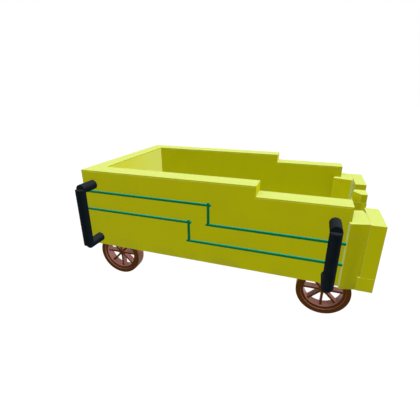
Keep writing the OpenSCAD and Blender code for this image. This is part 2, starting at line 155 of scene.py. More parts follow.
def joined(parts: list[Surface]) -> Surface:
    """Puts several closed surfaces into one, each turned outwards first.

    Args:
        parts: the surfaces.

    Returns:
        One surface that holds them all.
    """
    parts = [p.outward() for p in parts]
    starts = np.cumsum([0] + [len(p.points) for p in parts[:-1]])
    faces = [f + start for p, start in zip(parts, starts) for f in p.faces]
    return Surface(np.concatenate([p.points for p in parts]), faces, [u for p in parts for u in p.uvs])


def carried(rows: np.ndarray, closed: bool = False) -> Surface:
    """Joins rows of points, each row a closed loop, into one closed surface.

    Corner (i, j) of the grid is joined to (i + 1, j) and (i, j + 1), with j taken round the loop. An
    open run of rows is closed by a fan from the middle of its first and of its last row. U runs once
    round a loop, and V is the distance along the first column in metres.

    Args:
        rows: array (n, k, 3).
        closed: whether the last row joins the first one.

    Returns:
        The surface, turned outwards.
    """
    n, k, _ = rows.shape
    steps = n if closed else n - 1
    i, j = (a.ravel() for a in np.meshgrid(np.arange(steps), np.arange(k), indexing="ij"))
    i2, j2 = (i + 1) % n, (j + 1) % k
    quads = np.stack([i * k + j, i2 * k + j, i2 * k + j2, i * k + j2], 1)
    path = np.concatenate([rows[:, 0], rows[:1, 0]])
    along = np.concatenate([[0.0], np.cumsum(np.linalg.norm(np.diff(path, axis=0), axis=1))])
    u = np.stack([j, j, j + 1, j + 1], 1) / k
    v = np.stack([along[i], along[i + 1], along[i + 1], along[i]], 1)
    points, faces, uvs = [rows.reshape(-1, 3)], [quads], [np.stack([u, v], 2)]
    if not closed:
        points.append(rows[[0, -1]].mean(1))
        ring = np.arange(k)
        for row, pole, flip in ((0, n * k, False), (n - 1, n * k + 1, True)):
            fan = np.stack([ring + row * k, (ring + 1) % k + row * k, np.full(k, pole)], 1)
            uv = np.stack([np.stack([ring, ring + 1, ring + 0.5], 1) / k, np.full((k, 3), along[row])], 2)
            faces.append(fan[:, ::-1] if flip else fan)
            uvs.append(uv[:, ::-1] if flip else uv)
    return Surface(np.concatenate(points), faces, uvs).outward()


def eased(corners: np.ndarray, radius: float, steps: int = 3, loop: bool = True) -> np.ndarray:
    """Rounds the corners of a line in a plane.

    Each corner P gives way to the curve (1 - t)^2 A + 2 t (1 - t) P + t^2 B, where A and B lie one
    radius before and after it, or less than half of a short edge. Ends of an open line stay sharp.

    Args:
        corners: array (n, 2).
        radius: distance from the corner at which rounding starts.
        steps: spans in each rounded corner.
        loop: whether the line closes on itself.

    Returns:
        Array (m, 2) of points along the eased line.
    """
    before, after = np.roll(corners, 1, 0) - corners, np.roll(corners, -1, 0) - corners
    reach = []
    for edge in (before, after):
        length = np.linalg.norm(edge, axis=1, keepdims=True)
        reach.append(corners + edge / length * np.minimum(radius, 0.45 * length))
    t = np.linspace(0.0, 1.0, steps + 1)[None, :, None]
    a, p, b = reach[0][:, None], corners[:, None], reach[1][:, None]
    curve = (1 - t) ** 2 * a + 2 * t * (1 - t) * p + t**2 * b
    if loop:
        return curve.reshape(-1, 2)
    return np.concatenate([corners[:1], curve[1:-1].reshape(-1, 2), corners[-1:]])


def turned_rows(profile: np.ndarray, start: Triple, axis: Triple, segments: int) -> np.ndarray:
    """Carries a profile round an axis.

    Point (i, j) is start + axis * a_i + r_i * (cos(f_j) * u + sin(f_j) * w), where u and w are at
    right angles to the axis and f_j runs once round.

    Args:
        profile: array (n, 2) of distances a_i along the axis and radii r_i.
        start: where the axis starts.
        axis: unit vector along the axis.
        segments: points in each ring.

    Returns:
        Array (n, segments, 3).
    """
    along = np.array(axis, float)
    side = np.array([0.0, 0.0, 1.0]) if abs(along[2]) < 0.9 else np.array([1.0, 0.0, 0.0])
    up = np.cross(along, side)
    angle = np.linspace(0.0, TAU, segments, endpoint=False)
    ring = np.cos(angle)[:, None] * side + np.sin(angle)[:, None] * up
    return np.array(start) + profile[:, 0, None, None] * along + profile[:, 1, None, None] * ring


def rod(
    start: Triple, axis: Triple, length: float, radius: float, rim: float, segments: int = 40
) -> Surface:
    """A round bar with eased rims.

    Its profile is the line (0, r - rim), (0, r), (length, r), (length, r - rim) with eased corners.

    Args:
        start: middle of its first end.
        axis: unit vector along it.
        length: length in metres.
        radius: radius in metres.
        rim: size of the rounding at each end.
        segments: points round it.

    Returns:
        The closed surface.
    """
    r, core = radius, radius - 1.6 * rim
    line = np.array([[0, core], [0, r], [length, r], [length, core]], float)
    return carried(turned_rows(eased(line, rim, 4, loop=False), start, axis, segments))


def tube(
    start: Triple, axis: Triple, length: float, radius: float, wall: float, depth: float, segments: int = 24
) -> Surface:
    """A pipe with a bore at its first end and a closed last end.

    Its profile runs from the bore's bottom out over the eased lip and along to the far end.

    Args:
        start: middle of the open end.
        axis: unit vector along the pipe.
        length: length in metres.
        radius: outer radius.
        wall: wall thickness.
        depth: depth to which the bore is shown.
        segments: points round it.

    Returns:
        The closed surface.
    """
    bore = radius - wall
    line = np.array([[depth, bore], [0, bore], [0, radius], [length, radius], [length, 0.4 * radius]])
    return carried(turned_rows(eased(line, 0.3 * wall, 3, loop=False), start, axis, segments))


def weld_bead(start: Triple, end: Triple, across: Triple, up: Triple, size: float) -> Surface:
    """A fillet weld in the corner between two plates.

    Each loop is a quarter-round section of the given size, whose back lies a little way inside both
    plates. The loops are set along the seam, and their size swells by a twelfth as
    cos(2 pi x / pitch), which leaves the ripples of a hand weld.

    Args:
        start: first point in the corner.
        end: last point in the corner.
        across: unit vector out of the corner along one plate.
        up: unit vector out of the corner along the other plate.
        size: leg length of the fillet.

    Returns:
        The closed surface.
    """
    a, b = np.array(start), np.array(end)
    length = float(np.linalg.norm(b - a))
    rows = max(8, int(length / (0.45 * size)))
    x = np.linspace(0.0, 1.0, rows)
    pitch, back = 1.4 * size, -0.15 * size
    swell = 1.0 + np.cos(TAU * x * length / pitch) / 12.0
    swell *= np.clip(np.minimum(x, 1.0 - x) * length / size + 0.35, 0.0, 1.0)
    f = np.linspace(0.0, math.pi / 2, 5)
    section = np.stack([np.cos(f), np.sin(f)], 1) ** 1.4 * size
    section = np.concatenate([section, [[back, size], [back, back], [size, back]]])
    offset = section[:, :1] * np.array(across) + section[:, 1:] * np.array(up)
    middle = a + x[:, None] * (b - a)
    return carried(middle[:, None] + swell[:, None, None] * offset)


# ---------------------------------------------------------------- pieces


def dressed(obj: bpy.types.Object, material: bpy.types.Material, body: str) -> bpy.types.Object:
    """Gives a finished piece its material and its body.

    Args:
        obj: the piece.
        material: its finish.
        body: the CAD body that it moves with.

    Returns:
        The same piece.
    """
    obj.data.materials.clear()
    obj.data.materials.append(material)
    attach(obj, body)
    return obj


def piece_from(name: str, surface: Surface, sharp_deg: float = 35.0) -> bpy.types.Object:
    """Makes a Blender object of a surface, smooth but for its sharp edges.

    Args:
        name: name of the piece.
        surface: the closed surface.
        sharp_deg: edges that turn by more than this stay sharp.

    Returns:
        The linked object, at the origin.
    """
    mesh = bpy.data.meshes.new(name)
    mesh.from_pydata(surface.points.tolist(), [], [f for faces in surface.faces for f in faces.tolist()])
    layer = mesh.uv_layers.new(name="UVMap")
    layer.data.foreach_set("uv", np.concatenate([u.reshape(-1) for u in surface.uvs]).astype(np.float32))
    mesh.polygons.foreach_set("use_smooth", np.ones(len(mesh.polygons), bool))
    mesh.set_sharp_from_angle(angle=math.radians(sharp_deg))
    mesh.validate()
    mesh.update()
    obj = bpy.data.objects.new(name, mesh)
    bpy.context.scene.collection.objects.link(obj)
    return obj


# Points closer than this, in metres, are one. Faces that turn by less than FLAT_DEG are one. Edges
# longer than LONG_EDGE, in metres, that turn by more than FOLD_DEG are eased.
MERGE_WITHIN = 2e-6
FLAT_DEG = 0.4
LONG_EDGE = 0.015
FOLD_DEG = 25.0


def eased_copy(node: str, nodes: dict[str, bpy.types.Object], width: float) -> bpy.types.Object:
    """A copy of a plate from the frame, with its long edges rounded by a bevel.

    The copy's loose triangles are merged and its flat faces made whole. Long edges with a clear fold
    take the bevel, and the small rims of holes stay as they are.

    Args:
        node: the CAD node.
        nodes: all CAD nodes by name.
        width: width of the rounding in metres.

    Returns:
        The linked copy, at the origin.
    """
    mesh = nodes[node].data.copy()
    mesh.name = f"{node}_plate"
    work = bmesh.new()
    work.from_mesh(mesh)
    bmesh.ops.remove_doubles(work, verts=work.verts, dist=MERGE_WITHIN)
    bmesh.ops.dissolve_limit(work, angle_limit=math.radians(FLAT_DEG), verts=work.verts, edges=work.edges)
    weight = work.edges.layers.float.new("bevel_weight_edge")
    for edge in work.edges:
        if edge.calc_length() > LONG_EDGE and edge.calc_face_angle(0.0) > math.radians(FOLD_DEG):
            edge[weight] = 1.0
    work.to_mesh(mesh)
    work.free()
    obj = bpy.data.objects.new(f"{node}_plate", mesh)
    bpy.context.scene.collection.objects.link(obj)
    bevel = obj.modifiers.new("eased edges", "BEVEL")
    bevel.width, bevel.segments, bevel.limit_method = width, 2, "WEIGHT"
    return obj


# ---------------------------------------------------------------- finishes


# Rear wall's inner face: a pale painted reflection, stronger towards one end.
REFLECTION_FILM: Colour = (0.34, 0.36, 0.085)
# Backward faces in the front pockets: a pale painted reflection.
POCKET_REFLECTION: Colour = (0.272, 0.304, 0.084)
YELLOW: Colour = (0.279, 0.278, 0.0010)
# Inside the tub: the yellow made lighter to make up for the shade there, painted light.
YELLOW_INSIDE_BRIGHTENED: Colour = (0.314, 0.308, 0.0013)
# Upward faces: dust, and a painted sky sheen that lightens them.
PALE_DUST_SHEEN: Colour = (0.388, 0.442, 0.108)
SCUFF: Colour = (0.20, 0.19, 0.04)
GRIME: Colour = (0.09, 0.075, 0.03)
CHIP: Colour = (0.03, 0.05, 0.04)


def shaded(colour: Colour, share: float) -> Colour:
    """Scales a colour's brightness.

    Args:
        colour: the colour.
        share: what it is multiplied by.

    Returns:
        The scaled colour.
    """
    return tuple(c * share for c in colour)


class NodeSheet:
    """A new material with its node tree, and short ways to add nodes to it."""

    def __init__(self, name: str) -> None:
        """Makes an empty material with a Principled shader.

        Args:
            name: name of the material.
        """
        self.material = bpy.data.materials.new(name)
        self.material.use_nodes = True
        self.tree = self.material.node_tree
        self.shader = self.tree.nodes["Principled BSDF"]

    def add(
        self, kind: str, inputs: dict[str | int, object] | None = None, **settings: object
    ) -> bpy.types.Node:
        """Adds a node.

        Args:
            kind: the node's type, without its ShaderNode prefix.
            inputs: values or sockets for its inputs.
            **settings: its own properties.

        Returns:
            The node.
        """
        node = self.tree.nodes.new("ShaderNode" + kind)
        for key, value in settings.items():
            setattr(node, key, value)
        for key, value in (inputs or {}).items():
            if isinstance(value, Socket):
                self.tree.links.new(value, node.inputs[key])
            else:
                node.inputs[key].default_value = value
        return node

    def coords(self, scale: Triple = (1, 1, 1), kind: str = "Object") -> Socket:
        """Coordinates of the piece.

        Args:
            scale: factor along each axis.
            kind: which of the piece's coordinates.

        Returns:
            The scaled coordinates.
        """
        base = self.add("TexCoord").outputs[kind]
        return self.add("Mapping", {"Vector": base, "Scale": scale}).outputs["Vector"]

    def parts(self, vector: Socket) -> dict[str, Socket]:
        """Splits a vector.

        Args:
            vector: the vector.

        Returns:
            Its parts by the names X, Y and Z.
        """
        outputs = self.add("SeparateXYZ", {0: vector}).outputs
        return {axis: outputs[axis] for axis in "XYZ"}

    def facing(self) -> dict[str, Socket]:
        """Parts of the surface's normal, by the names X, Y and Z."""
        return self.parts(self.add("NewGeometry").outputs["Normal"])

    def noise(self, where: Socket, scale: float, detail: float = 4.0) -> Socket:
        """Fractal noise.

        Args:
            where: coordinates.
            scale: waves in each metre of them.
            detail: number of finer octaves.

        Returns:
            A value that lies round a half.
        """
        return self.add("TexNoise", {"Vector": where, "Scale": scale, "Detail": detail}).outputs["Fac"]

    def span(self, value: Socket, low: float, high: float, out: tuple[float, float] = (0, 1)) -> Socket:
        """Maps a value smoothly from low..high to out.

        Args:
            value: the value.
            low: value that gives the first of out.
            high: value that gives the last of out.
            out: the two results.

        Returns:
            The mapped value.
        """
        inputs = {"Value": value, "From Min": low, "From Max": high, "To Min": out[0], "To Max": out[1]}
        return self.add("MapRange", inputs, interpolation_type="SMOOTHSTEP").outputs["Result"]

    def product(self, a: Socket, b: Socket | float) -> Socket:
        """Product of two shares.

        Args:
            a: one share.
            b: the other share.

        Returns:
            Their product.
        """
        return self.add("Math", {0: a, 1: b}, operation="MULTIPLY").outputs[0]

    def mix(self, share: Socket | float, a: Socket | Colour, b: Socket | Colour) -> Socket:
        """A colour between two.

        Args:
            share: share of the last colour.
            a: first colour.
            b: last colour.

        Returns:
            The mixed colour.
        """
        a, b = (c if isinstance(c, Socket) else (*c, 1.0) for c in (a, b))
        return self.add("Mix", {"Factor": share, "A": a, "B": b}, data_type="RGBA").outputs[2]

    def bump(self, height: Socket, strength: float, distance: float) -> None:
        """Drives the shader's normal by a height.

        Args:
            height: the height.
            strength: strength of the effect.
            distance: what a height of 1 stands for, in metres.
        """
        node = self.add("Bump", {"Height": height, "Strength": strength, "Distance": distance})
        self.link(node.outputs["Normal"], "Normal")

    def link(self, socket: Socket, name: str) -> None:
        """Links a socket to the shader.

        Args:
            socket: the socket.
            name: the shader's input.
        """
        self.tree.links.new(socket, self.shader.inputs[name])

    def fixed(self, **values: float) -> None:
        """Sets shader inputs that are the same all over.

        Args:
            **values: values by the inputs' names, with _ for a space.
        """
        for key, value in values.items():
            self.shader.inputs[key.replace("_", " ")].default_value = value


@dataclass(frozen=True)
class Paint:
    """Satin paint: faint smudges, fine scuffs, dust and a painted sky sheen on upward faces, and grime low
    down.

    Faces that look back in the pockets behind the front blocks take a painted reflection, and a wall can take
    a painted reflection that grows along it.

    Attributes:
        name: name of the material.
        colour: paint colour.
        dusted: colour of upward faces: dust, and a painted sky sheen that lightens them.
        wear: share of scuffs, from 0.
        roughness: mean roughness.
        grime: share of grime near the ground.
        film: share of painted reflection at the right and at the left end of an upright wall.
    """

    name: str
    colour: Colour
    dusted: Colour
    wear: float
    roughness: float = 0.5
    grime: float = 0.12
    film: tuple[float, float] = (0.0, 0.0)

    SMUDGE = 0.94  # brightness of smudges
    STREAKS = (30.0, 30.0, 3.0)  # waves in each metre, so that run marks stand upright
    WALL_HALF = 0.385  # half the tub's inner width
    GRIME_FROM, GRIME_TO = 0.213, 0.30  # heights between which grime fades out
    POCKET_X = 0.66  # the pockets lie forward of this
    SQUARE_BACK, TURNED_BACK = -0.955, -0.90  # a normal's x where a face has full painted pocket reflection, and none

    def material(self) -> bpy.types.Material:
        """Builds the node material."""
        sheet = NodeSheet(self.name)
        place = sheet.coords()
        cloud, grain = sheet.noise(place, 5.0, 5.0), sheet.noise(place, 70.0, 6.0)
        tone = self.dusted_tone(sheet, self.worn_tone(sheet, cloud, grain), grain)
        height = sheet.parts(place)["Z"]
        low = sheet.span(height, self.GRIME_FROM, self.GRIME_TO, (self.grime, 0.0))
        tone = sheet.mix(sheet.product(low, sheet.span(cloud, 0.4, 0.6)), tone, GRIME)
        sheet.link(tone, "Base Color")
        rough = self.roughness
        sheet.link(sheet.span(grain, 0.3, 0.7, (rough - 0.07, rough + 0.07)), "Roughness")
        sheet.bump(sheet.noise(place, 450.0, 2.0), 0.10, 0.0006)
        sheet.fixed(Specular_IOR_Level=0.02)
        return sheet.material

    def worn_tone(self, sheet: NodeSheet, cloud: Socket, grain: Socket) -> Socket:
        """Paint with smudges, run marks and scuffs.

        Args:
            sheet: the material's sheet.
            cloud: coarse noise.
            grain: fine noise.

        Returns:
            The colour.
        """
        darker = shaded(self.colour, self.SMUDGE)
        streak = sheet.noise(sheet.coords(self.STREAKS), 1.0, 3.0)
        tone = sheet.mix(sheet.span(cloud, 0.42, 0.66, (0.0, 0.5)), self.colour, darker)
        tone = sheet.mix(sheet.span(streak, 0.55, 0.75, (0.0, 0.3)), tone, darker)
        scuff = sheet.product(sheet.span(grain, 0.60, 0.68), sheet.span(cloud, 0.5, 0.62))
        return sheet.mix(sheet.product(scuff, self.wear), tone, SCUFF)

    def dusted_tone(self, sheet: NodeSheet, tone: Socket, grain: Socket) -> Socket:
        """Lays a painted reflection film, dust with a painted sky sheen, and a painted pocket reflection over
        a colour, by place and by the way that a face looks.

        Args:
            sheet: the material's sheet.
            tone: the colour below.
            grain: fine noise that breaks the dust up.

        Returns:
            The colour.
        """
        facing, spot = sheet.facing(), sheet.parts(sheet.coords())
        if max(self.film) > 0.0:
            # A painted reflection that grows along the wall.
            tone = sheet.mix(sheet.span(spot["Y"], -self.WALL_HALF, self.WALL_HALF, self.film), tone, REFLECTION_FILM)
        patchy = sheet.span(grain, 0.2, 0.6, (0.88, 1.0))
        # Upward faces take dust and a painted sky sheen.
        tone = sheet.mix(sheet.product(sheet.span(facing["Z"], 0.55, 0.9), patchy), tone, self.dusted)
        # Backward faces in the front pockets take a pale painted reflection.
        back = sheet.span(facing["X"], self.SQUARE_BACK, self.TURNED_BACK, (1.0, 0.0))
        front_end = sheet.span(spot["X"], self.POCKET_X, self.POCKET_X + 0.01)
        return sheet.mix(sheet.product(sheet.product(back, front_end), patchy), tone, POCKET_REFLECTION)


@dataclass(frozen=True)
class Iron:
    """Cast iron with a brown oxide skin, and a paler painted reflection on the faces that aren't square to
    the axle.

    Attributes:
        name: name of the material.
        dark: colour of the oxide on faces square to the axle.
        rubbed: colour of the faces between: a patchy painted reflection.
    """

    name: str
    dark: Colour
    rubbed: Colour

    def material(self) -> bpy.types.Material:
        """Builds the node material."""
        sheet = NodeSheet(self.name)
        place = sheet.coords()
        cloud, grain = sheet.noise(place, 14.0, 5.0), sheet.noise(place, 260.0, 4.0)
        across = sheet.add("Math", {0: sheet.facing()["Y"]}, operation="ABSOLUTE").outputs[0]
        # Faces not square to the axle take a paler painted reflection.
        sheen_faces = sheet.span(across, 0.3, 0.8, (1.0, 0.0))
        patch = sheet.product(sheet.span(cloud, 0.35, 0.65, (0.55, 1.0)), sheen_faces)
        tone = sheet.mix(patch, self.dark, self.rubbed)
        tone = sheet.mix(sheet.span(grain, 0.55, 0.75, (0.0, 0.35)), tone, shaded(self.dark, 0.5))
        sheet.link(tone, "Base Color")
        sheet.link(sheet.span(cloud, 0.3, 0.7, (0.34, 0.22)), "Roughness")
        sheet.bump(grain, 0.25, 0.0008)
        sheet.fixed(Specular_IOR_Level=0.02)
        return sheet.material


@dataclass(frozen=True)
class Grip:
    """Black moulded grip with a fine pattern of raised dots, and a painted highlight on its upward faces.

    Attributes:
        name: name of the material.
        colour: colour of the moulding.
        dusted: colour of its upward faces: dust and a painted highlight.
        around: dots once round the bar.
        pitch: distance between rows of dots along the bar, in metres.
    """

    name: str
    colour: Colour
    dusted: Colour
    around: float = 36.0
    pitch: float = 0.006

    def material(self) -> bpy.types.Material:
        """Builds the node material, with the dots on the piece's own UV map."""
        sheet = NodeSheet(self.name)
        where = sheet.coords((self.around, 1.0 / self.pitch, 1.0), "UV")
        grid = {"Vector": where, "Scale": 1.0, "Randomness": 0.0}
        cells = sheet.add("TexVoronoi", grid, voronoi_dimensions="2D")
        dot = sheet.span(cells.outputs["Distance"], 0.18, 0.42, (1.0, 0.0))
        rub = sheet.noise(sheet.coords(), 30.0, 4.0)
        tone = sheet.mix(sheet.span(rub, 0.4, 0.7, (0.0, 0.6)), self.colour, shaded(self.colour, 1.6))
        tone = sheet.mix(sheet.product(dot, 0.5), tone, shaded(self.colour, 2.4))
        # Upward faces are lighter: dust and a painted highlight.
        tone = sheet.mix(sheet.span(sheet.facing()["Z"], 0.0, 0.9), tone, self.dusted)
        sheet.link(tone, "Base Color")
        sheet.link(sheet.span(rub, 0.3, 0.7, (0.62, 0.5)), "Roughness")
        sheet.bump(dot, 0.5, 0.0008)
        sheet.fixed(Specular_IOR_Level=0.02)
        return sheet.material


@dataclass(frozen=True)
class PipePaint:
    """Brushed-on pipe paint, with a painted highlight along the top.

    Attributes:
        name: name of the material.
        colour: paint colour.
        upper: colour of the painted highlight along the top.
    """

    name: str
    colour: Colour
    upper: Colour

    def material(self) -> bpy.types.Material:
        """Builds the node material."""
        sheet = NodeSheet(self.name)
        brush = sheet.noise(sheet.coords((6.0, 220.0, 220.0)), 1.0, 4.0)
        chip = sheet.noise(sheet.coords(), 120.0, 3.0)
        tone = sheet.mix(sheet.span(brush, 0.4, 0.7, (0.0, 0.35)), self.colour, shaded(self.colour, 0.8))
        # A painted highlight along the top.
        tone = sheet.mix(sheet.span(sheet.facing()["Z"], 0.58, 0.84), tone, self.upper)
        tone = sheet.mix(sheet.span(chip, 0.70, 0.74, (0.0, 0.6)), tone, CHIP)
        sheet.link(tone, "Base Color")
        sheet.link(sheet.span(brush, 0.3, 0.7, (0.32, 0.22)), "Roughness")
        sheet.bump(brush, 0.2, 0.0006)
        sheet.fixed(Specular_IOR_Level=0.02)
        return sheet.material


@dataclass(frozen=True)
class Metal:
    """Plain metal or primer with a fine grain.

    Attributes:
        name: name of the material.
        colour: base colour.
        metallic: 1 for bare metal, 0 for paint or primer.
        roughness: mean roughness.
        grain: scale of the grain along each axis.
    """

    name: str
    colour: Colour
    metallic: float
    roughness: float
    grain: Triple = (60.0, 60.0, 60.0)

    def material(self) -> bpy.types.Material:
        """Builds the node material."""
        sheet = NodeSheet(self.name)
        grain = sheet.noise(sheet.coords(self.grain), 1.0, 5.0)
        stain = sheet.noise(sheet.coords(), 9.0, 4.0)
        tone = sheet.mix(sheet.span(grain, 0.4, 0.7, (0.0, 0.5)), self.colour, shaded(self.colour, 0.7))
        tone = sheet.mix(sheet.span(stain, 0.5, 0.75, (0.0, 0.5)), tone, shaded(self.colour, 0.55))
        sheet.link(tone, "Base Color")
        sheet.link(sheet.span(grain, 0.3, 0.7, (self.roughness - 0.06, self.roughness + 0.08)), "Roughness")
        sheet.bump(grain, 0.15, 0.0005)
        sheet.fixed(Metallic=self.metallic)
        return sheet.material


FINISHES: dict[Slot, Paint | Iron | Grip | PipePaint | Metal] = {
    Slot.PAINT: Paint("satin yellow, sides", YELLOW, PALE_DUST_SHEEN, wear=0.25),
    Slot.PAINT_TOP: Paint("satin yellow, rails", YELLOW, PALE_DUST_SHEEN, wear=0.35),
    # Inner plates: yellow made lighter against the tub's shade, painted light.
    Slot.PAINT_WORN: Paint("satin yellow, inside", YELLOW_INSIDE_BRIGHTENED, PALE_DUST_SHEEN, wear=0.5, roughness=0.55),
    Slot.PRIMER: Metal("red-brown primer", (0.10, 0.05, 0.035), 0.0, 0.7),
    Slot.UNDERFRAME: Metal("dark grey frame paint", (0.05, 0.05, 0.054), 0.0, 0.55),
    # Each iron's second colour is a painted reflection on faces not square to the axle.
    Slot.TYRE: Iron("oxide brown tyre", (0.048, 0.0150, 0.0012), (0.115, 0.050, 0.040)),
    Slot.WHEEL: Iron("oxide brown casting", (0.048, 0.0150, 0.0012), (0.147, 0.068, 0.060)),
    Slot.BRONZE: Metal("turned bronze", (0.45, 0.26, 0.09), 1.0, 0.3, (20.0, 900.0, 20.0)),
    # The grip's second colour is dust and a painted highlight on upward faces.
    Slot.GRIP: Grip("black dotted grip", (0.0017, 0.0032, 0.0046), (0.011, 0.0135, 0.0165)),
    # The pipe's second colour is a painted highlight along the top.
    Slot.PIPE: PipePaint("gloss green pipe paint", (0.0010, 0.082, 0.021), (0.003, 0.175, 0.112)),
    Slot.AXLE: Metal("turned axle steel", (0.42, 0.42, 0.44), 1.0, 0.32, (20.0, 900.0, 20.0)),
    Slot.FASTENER: Metal("zinc plate", (0.55, 0.56, 0.58), 1.0, 0.36),
}


# Paint that differs from the rest of its slot, by the node or weld that has it.
VARIANTS: dict[str, Paint] = {
    # The rear inner plate: a lighter yellow, with a painted reflection growing towards its left end.
    "rear_inner_plate": Paint(
        "satin yellow, filmed", (0.34, 0.345, 0.02), PALE_DUST_SHEEN, wear=0.4, film=(0.06, 0.74)
    ),
    # The posts: a lighter copy of the yellow on the far post, painted light, and a darker copy on the near
    # post, painted shade.
    "left_post": Paint("satin yellow, shaded front", (0.322, 0.319, 0.0015), PALE_DUST_SHEEN, wear=0.25),
    "right_post": Paint("satin yellow, near post", (0.247, 0.247, 0.0011), PALE_DUST_SHEEN, wear=0.25),
    # The post welds take the pale pocket colour: a painted reflection.
    "post_weld": Paint("dusty weld", POCKET_REFLECTION, POCKET_REFLECTION, wear=0.25),
}


# ---------------------------------------------------------------- sub-assemblies


@dataclass
class Cart:
    """What every sub-assembly needs: the frame's nodes and the materials.

    Attributes:
        nodes: CAD nodes by name.
        materials: one material for each slot.
        variants: materials of single nodes or welds.
    """

    nodes: dict[str, bpy.types.Object]
    materials: dict[Slot, bpy.types.Material] = field(init=False)
    variants: dict[str, bpy.types.Material] = field(init=False)

    def __post_init__(self) -> None:
        """Builds the materials."""
        self.materials = {slot: finish.material() for slot, finish in FINISHES.items()}
        self.variants = {place: finish.material() for place, finish in VARIANTS.items()}

    def stand_for(self, piece: bpy.types.Object, slot: Slot, body: str, *nodes: str) -> None:
        """Dresses a piece and lets it stand for CAD nodes. Slim bars leave no soft shade on the walls.

        Args:
            piece: the new piece.
            slot: its slot in the record.
            body: its CAD body.
            *nodes: the CAD nodes that it replaces.
        """
        material = self.variants.get(nodes[0], self.materials[slot])
        dressed(piece, material, body)
        piece.visible_diffuse = slot not in (Slot.GRIP, Slot.PIPE)
        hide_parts(*nodes)
        log.info("%s: %d faces, for %s", piece.name, len(piece.data.polygons), ", ".join(nodes))

    def dress_node(self, node: str, slot: Slot) -> None:
        """Gives a CAD node that stays in view its material.

        Args:
            node: the node.
            slot: its slot in the record.
        """
        data = self.nodes[node].data
        data.materials.clear()
        data.materials.append(self.materials[slot])
        log.info("%s: frame node in %s", node, slot.value)


